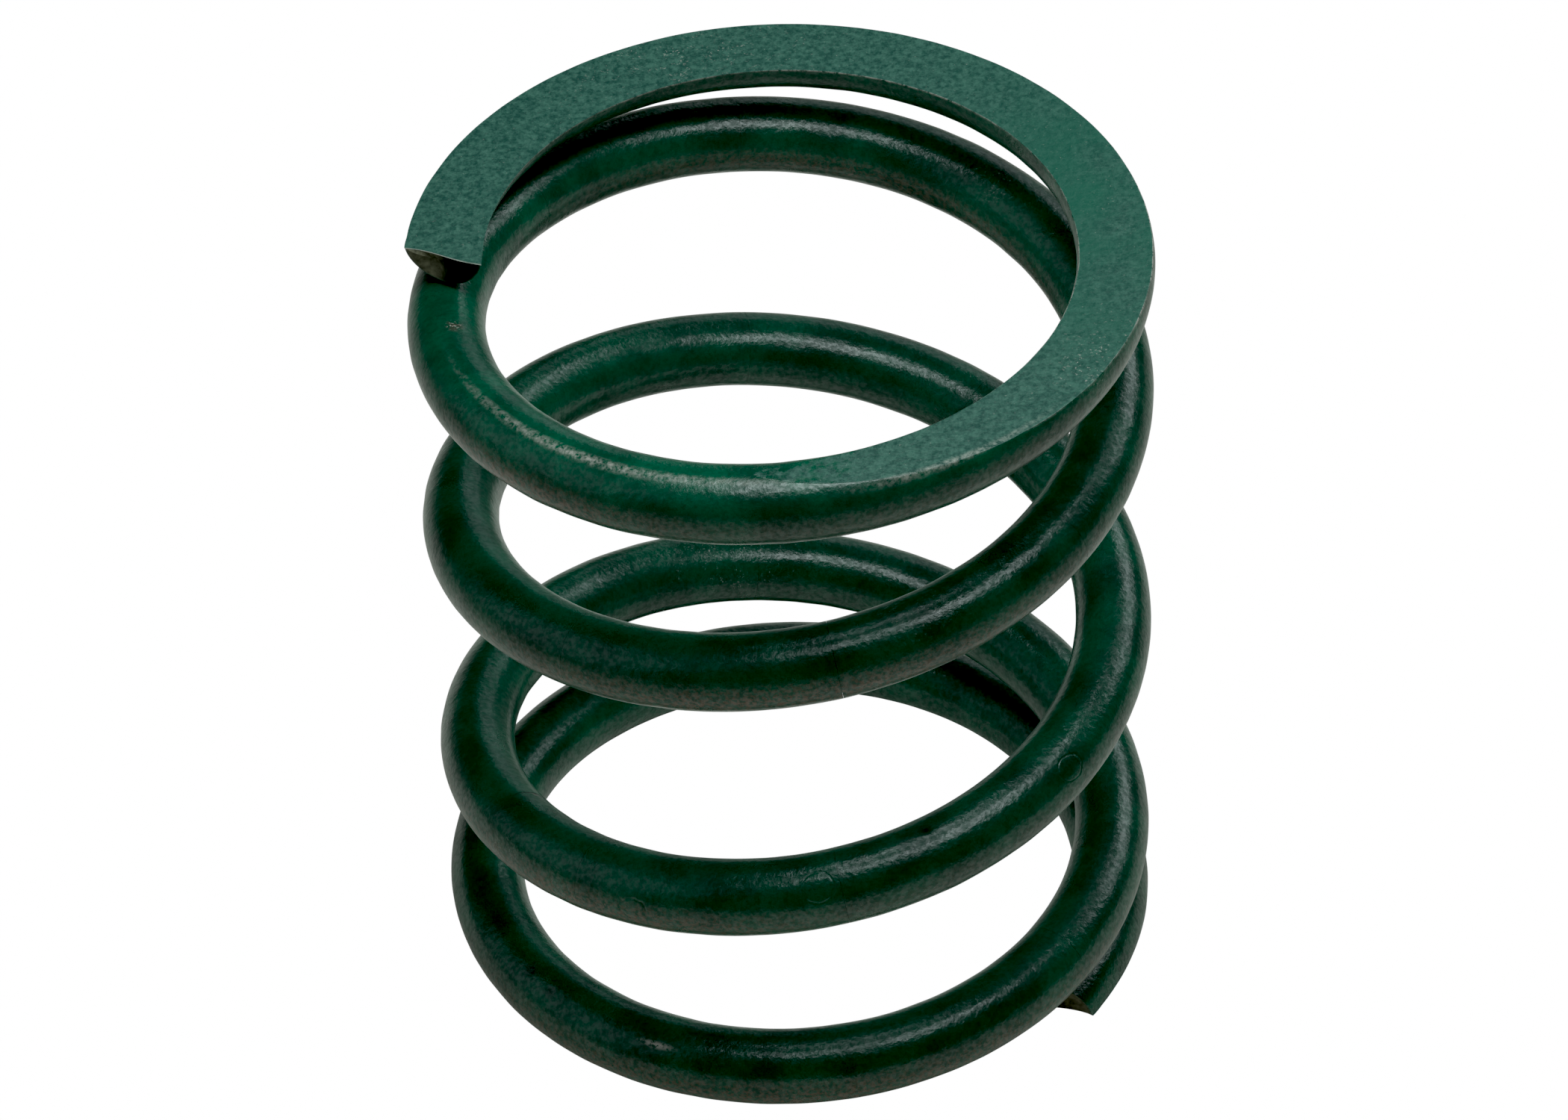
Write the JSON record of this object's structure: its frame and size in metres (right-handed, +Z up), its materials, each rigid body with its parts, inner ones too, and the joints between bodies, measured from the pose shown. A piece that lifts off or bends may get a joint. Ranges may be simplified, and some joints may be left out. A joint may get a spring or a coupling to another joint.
{
  "type": "compression coil spring",
  "caption": "Helical compression spring of round steel wire, right-hand wound, with closed and ground ends and a green painted finish; it shortens along its axis as its coils close up.",
  "frame": {"origin": "centre of the bottom seat, on the coil's axis", "axes": "+Z runs up the coil's axis from the bottom seat to the top one; seen from above, the wire's bottom tip lies 38 degrees clockwise of +X, and the wire climbs anticlockwise from it"},
  "size_m": [0.076, 0.076, 0.0886],
  "materials": {
    "green_paint": "dark bottle-green paint, semi-gloss, over shot-peened steel wire, duller and lighter on the ground ends"
  },
  "bodies": {
    "bottom_end_coil": {"bottom_end_coil": "green_paint"},
    "coil_2_right": {"coil_2_right": "green_paint"},
    "coil_2_back_right": {"coil_2_back_right": "green_paint"},
    "coil_2_back": {"coil_2_back": "green_paint"},
    "coil_2_back_left": {"coil_2_back_left": "green_paint"},
    "coil_2_left": {"coil_2_left": "green_paint"},
    "coil_2_front_left": {"coil_2_front_left": "green_paint"},
    "coil_2_front": {"coil_2_front": "green_paint"},
    "coil_2_front_right": {"coil_2_front_right": "green_paint"},
    "coil_3_right": {"coil_3_right": "green_paint"},
    "coil_3_back_right": {"coil_3_back_right": "green_paint"},
    "coil_3_back": {"coil_3_back": "green_paint"},
    "coil_3_back_left": {"coil_3_back_left": "green_paint"},
    "coil_3_left": {"coil_3_left": "green_paint"},
    "coil_3_front_left": {"coil_3_front_left": "green_paint"},
    "coil_3_front": {"coil_3_front": "green_paint"},
    "coil_3_front_right": {"coil_3_front_right": "green_paint"},
    "coil_4_right": {"coil_4_right": "green_paint"},
    "coil_4_back_right": {"coil_4_back_right": "green_paint"},
    "coil_4_back": {"coil_4_back": "green_paint"},
    "coil_4_back_left": {"coil_4_back_left": "green_paint"},
    "coil_4_left": {"coil_4_left": "green_paint"},
    "top_end_coil": {"top_end_coil": "green_paint"}
  },
  "joints": [
    {"name": "coil_2_right_twist", "type": "hinge", "parent": "bottom_end_coil", "child": "coil_2_right", "pos_m": [0.02679, -0.02093, 0.00776], "axis": [-0.6142, -0.7861, -0.0687], "range_deg": [0, 1.71], "stiffness_Nm_per_rad": 6, "springref_deg": -0.89},
    {"name": "coil_2_back_right_twist", "type": "hinge", "parent": "coil_2_right", "child": "coil_2_back_right", "pos_m": [0.03375, 0.00414, 0.00995], "axis": [0.1213, -0.9881, -0.0951], "range_deg": [0, 2.1], "stiffness_Nm_per_rad": 6, "springref_deg": -0.85},
    {"name": "coil_2_back_twist", "type": "hinge", "parent": "coil_2_back_right", "child": "coil_2_back", "pos_m": [0.02093, 0.02679, 0.01286], "axis": [0.7823, -0.6112, -0.1205], "range_deg": [0, 2.56], "stiffness_Nm_per_rad": 6, "springref_deg": -0.81},
    {"name": "coil_2_back_left_twist", "type": "hinge", "parent": "coil_2_back", "child": "coil_2_back_left", "pos_m": [-0.00414, 0.03375, 0.01637], "axis": [0.9829, 0.1207, -0.1393], "range_deg": [0, 3.16], "stiffness_Nm_per_rad": 6, "springref_deg": -0.77},
    {"name": "coil_2_left_twist", "type": "hinge", "parent": "coil_2_back_left", "child": "coil_2_left", "pos_m": [-0.02679, 0.02093, 0.02025], "axis": [0.6091, 0.7796, -0.1459], "range_deg": [0, 3.83], "stiffness_Nm_per_rad": 6, "springref_deg": -0.74},
    {"name": "coil_2_front_left_twist", "type": "hinge", "parent": "coil_2_left", "child": "coil_2_front_left", "pos_m": [-0.03375, -0.00414, 0.02419], "axis": [-0.1206, 0.9819, -0.1459], "range_deg": [0, 4.46], "stiffness_Nm_per_rad": 6, "springref_deg": -0.72},
    {"name": "coil_2_front_twist", "type": "hinge", "parent": "coil_2_front_left", "child": "coil_2_front", "pos_m": [-0.02093, -0.02679, 0.02813], "axis": [-0.7796, 0.6091, -0.1459], "range_deg": [0, 4.88], "stiffness_Nm_per_rad": 6, "springref_deg": -0.69},
    {"name": "coil_2_front_right_twist", "type": "hinge", "parent": "coil_2_front", "child": "coil_2_front_right", "pos_m": [0.00414, -0.03375, 0.03207], "axis": [-0.9819, -0.1206, -0.1459], "range_deg": [0, 5], "stiffness_Nm_per_rad": 6, "springref_deg": -0.66},
    {"name": "coil_3_right_twist", "type": "hinge", "parent": "coil_2_front_right", "child": "coil_3_right", "pos_m": [0.02679, -0.02093, 0.036], "axis": [-0.6091, -0.7796, -0.1459], "range_deg": [0, 4.87], "stiffness_Nm_per_rad": 6, "springref_deg": -0.62},
    {"name": "coil_3_back_right_twist", "type": "hinge", "parent": "coil_3_right", "child": "coil_3_back_right", "pos_m": [0.03375, 0.00414, 0.03994], "axis": [0.1206, -0.9819, -0.1459], "range_deg": [0, 4.62], "stiffness_Nm_per_rad": 6, "springref_deg": -0.58},
    {"name": "coil_3_back_twist", "type": "hinge", "parent": "coil_3_back_right", "child": "coil_3_back", "pos_m": [0.02093, 0.02679, 0.04388], "axis": [0.7796, -0.6091, -0.1459], "range_deg": [0, 4.43], "stiffness_Nm_per_rad": 6, "springref_deg": -0.54},
    {"name": "coil_3_back_left_twist", "type": "hinge", "parent": "coil_3_back", "child": "coil_3_back_left", "pos_m": [-0.00414, 0.03375, 0.04782], "axis": [0.9819, 0.1206, -0.1459], "range_deg": [0, 4.41], "stiffness_Nm_per_rad": 6, "springref_deg": -0.51},
    {"name": "coil_3_left_twist", "type": "hinge", "parent": "coil_3_back_left", "child": "coil_3_left", "pos_m": [-0.02679, 0.02093, 0.05175], "axis": [0.6091, 0.7796, -0.1459], "range_deg": [0, 4.54], "stiffness_Nm_per_rad": 6, "springref_deg": -0.48},
    {"name": "coil_3_front_left_twist", "type": "hinge", "parent": "coil_3_left", "child": "coil_3_front_left", "pos_m": [-0.03375, -0.00414, 0.05569], "axis": [-0.1206, 0.9819, -0.1459], "range_deg": [0, 4.71], "stiffness_Nm_per_rad": 6, "springref_deg": -0.45},
    {"name": "coil_3_front_twist", "type": "hinge", "parent": "coil_3_front_left", "child": "coil_3_front", "pos_m": [-0.02093, -0.02679, 0.05963], "axis": [-0.7796, 0.6091, -0.1459], "range_deg": [0, 4.74], "stiffness_Nm_per_rad": 6, "springref_deg": -0.42},
    {"name": "coil_3_front_right_twist", "type": "hinge", "parent": "coil_3_front", "child": "coil_3_front_right", "pos_m": [0.00414, -0.03375, 0.06357], "axis": [-0.9819, -0.1206, -0.1459], "range_deg": [0, 4.53], "stiffness_Nm_per_rad": 6, "springref_deg": -0.39},
    {"name": "coil_4_right_twist", "type": "hinge", "parent": "coil_3_front_right", "child": "coil_4_right", "pos_m": [0.02679, -0.02093, 0.0675], "axis": [-0.6091, -0.7796, -0.1459], "range_deg": [0, 4.06], "stiffness_Nm_per_rad": 6, "springref_deg": -0.36},
    {"name": "coil_4_back_right_twist", "type": "hinge", "parent": "coil_4_right", "child": "coil_4_back_right", "pos_m": [0.03375, 0.00414, 0.0714], "axis": [0.1207, -0.983, -0.1387], "range_deg": [0, 3.42], "stiffness_Nm_per_rad": 6, "springref_deg": -0.32},
    {"name": "coil_4_back_twist", "type": "hinge", "parent": "coil_4_back_right", "child": "coil_4_back", "pos_m": [0.02093, 0.02679, 0.07479], "axis": [0.7831, -0.6118, -0.1114], "range_deg": [0, 2.77], "stiffness_Nm_per_rad": 6, "springref_deg": -0.28},
    {"name": "coil_4_back_left_twist", "type": "hinge", "parent": "coil_4_back", "child": "coil_4_back_left", "pos_m": [-0.00414, 0.03375, 0.07737], "axis": [0.9892, 0.1215, -0.0822], "range_deg": [0, 2.21], "stiffness_Nm_per_rad": 6, "springref_deg": -0.25},
    {"name": "coil_4_left_twist", "type": "hinge", "parent": "coil_4_back_left", "child": "coil_4_left", "pos_m": [-0.02679, 0.02093, 0.07937], "axis": [0.6141, 0.786, -0.0714], "range_deg": [0, 1.77], "stiffness_Nm_per_rad": 6, "springref_deg": -0.22},
    {"name": "top_end_coil_twist", "type": "hinge", "parent": "coil_4_left", "child": "top_end_coil", "pos_m": [-0.03375, -0.00414, 0.08128], "axis": [-0.1216, 0.99, -0.0714], "range_deg": [0, 1.39], "stiffness_Nm_per_rad": 6, "springref_deg": -0.19}
  ],
  "couplings": [
    {"joint": "coil_2_right_twist", "follows": "coil_2_front_right_twist", "ratio": 0.342},
    {"joint": "coil_2_back_right_twist", "follows": "coil_2_front_right_twist", "ratio": 0.4192},
    {"joint": "coil_2_back_twist", "follows": "coil_2_front_right_twist", "ratio": 0.5121},
    {"joint": "coil_2_back_left_twist", "follows": "coil_2_front_right_twist", "ratio": 0.6311},
    {"joint": "coil_2_left_twist", "follows": "coil_2_front_right_twist", "ratio": 0.7668},
    {"joint": "coil_2_front_left_twist", "follows": "coil_2_front_right_twist", "ratio": 0.8919},
    {"joint": "coil_2_front_twist", "follows": "coil_2_front_right_twist", "ratio": 0.9753},
    {"joint": "coil_3_right_twist", "follows": "coil_2_front_right_twist", "ratio": 0.9734},
    {"joint": "coil_3_back_right_twist", "follows": "coil_2_front_right_twist", "ratio": 0.924},
    {"joint": "coil_3_back_twist", "follows": "coil_2_front_right_twist", "ratio": 0.886},
    {"joint": "coil_3_back_left_twist", "follows": "coil_2_front_right_twist", "ratio": 0.8813},
    {"joint": "coil_3_left_twist", "follows": "coil_2_front_right_twist", "ratio": 0.9078},
    {"joint": "coil_3_front_left_twist", "follows": "coil_2_front_right_twist", "ratio": 0.9411},
    {"joint": "coil_3_front_twist", "follows": "coil_2_front_right_twist", "ratio": 0.9481},
    {"joint": "coil_3_front_right_twist", "follows": "coil_2_front_right_twist", "ratio": 0.9055},
    {"joint": "coil_4_right_twist", "follows": "coil_2_front_right_twist", "ratio": 0.8112},
    {"joint": "coil_4_back_right_twist", "follows": "coil_2_front_right_twist", "ratio": 0.6847},
    {"joint": "coil_4_back_twist", "follows": "coil_2_front_right_twist", "ratio": 0.5544},
    {"joint": "coil_4_back_left_twist", "follows": "coil_2_front_right_twist", "ratio": 0.4424},
    {"joint": "coil_4_left_twist", "follows": "coil_2_front_right_twist", "ratio": 0.3536},
    {"joint": "top_end_coil_twist", "follows": "coil_2_front_right_twist", "ratio": 0.2779}
  ]
}
